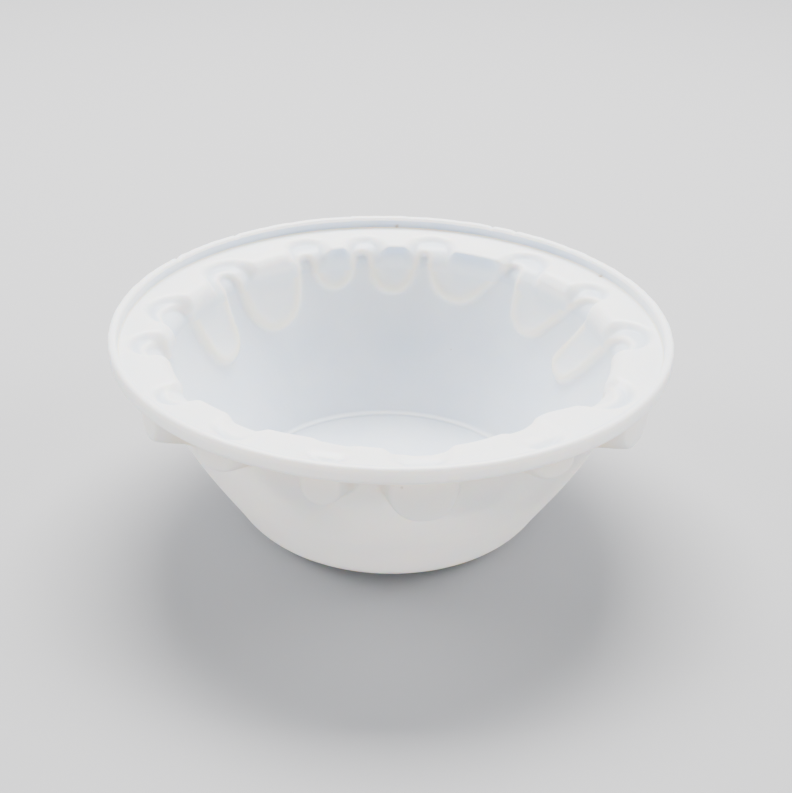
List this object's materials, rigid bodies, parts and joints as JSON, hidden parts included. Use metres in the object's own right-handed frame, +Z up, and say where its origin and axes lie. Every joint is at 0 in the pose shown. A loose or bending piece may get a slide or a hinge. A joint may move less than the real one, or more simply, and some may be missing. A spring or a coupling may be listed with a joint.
{
  "type": "resin casting mould",
  "caption": "Round flexible silicone casting mould: flared cup with a flat base, raised rim lip, scalloped shelf and drip-shaped ribs inside.",
  "frame": {"origin": "centre of the flat underside, on the surface that the mould stands on", "axes": "+Z up through the mouth, -Y towards the viewer, +X to the right"},
  "size_m": [0.11, 0.11, 0.0413],
  "materials": {
    "silicone": "satin, milky translucent silicone"
  },
  "bodies": {
    "root": {"rim_lip": "silicone", "drip_band": "silicone", "cup_wall": "silicone", "foot_ring": "silicone", "floor_disc": "silicone"}
  },
  "joints": []
}
